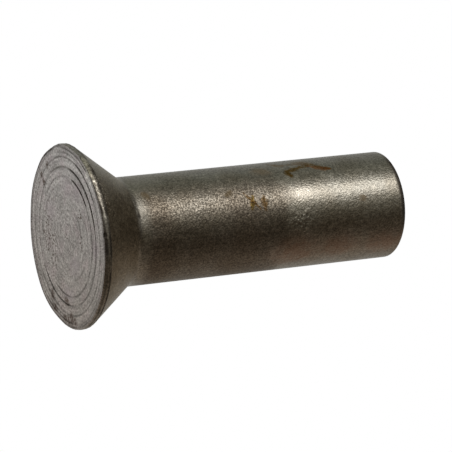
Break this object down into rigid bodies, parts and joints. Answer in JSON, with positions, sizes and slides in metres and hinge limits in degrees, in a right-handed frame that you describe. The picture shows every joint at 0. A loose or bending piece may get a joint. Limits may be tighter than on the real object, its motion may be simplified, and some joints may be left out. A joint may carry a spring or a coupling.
{
  "type": "countersunk rivet",
  "caption": "Solid steel rivet with a flat countersunk head, a short upright rim, a conical seat and a plain round shank.",
  "frame": {"origin": "centre of the head's flat face, on which the rivet stands", "axes": "+Z along the shank, from the head to the plain end; the rivet is round about Z, so X and Y are free"},
  "size_m": [0.0168, 0.0168, 0.0324],
  "materials": {
    "steel": "plain cold-headed and tumbled steel, uncoated, dull and slightly stained"
  },
  "bodies": {
    "root": {"rivet": "steel"}
  },
  "joints": []
}
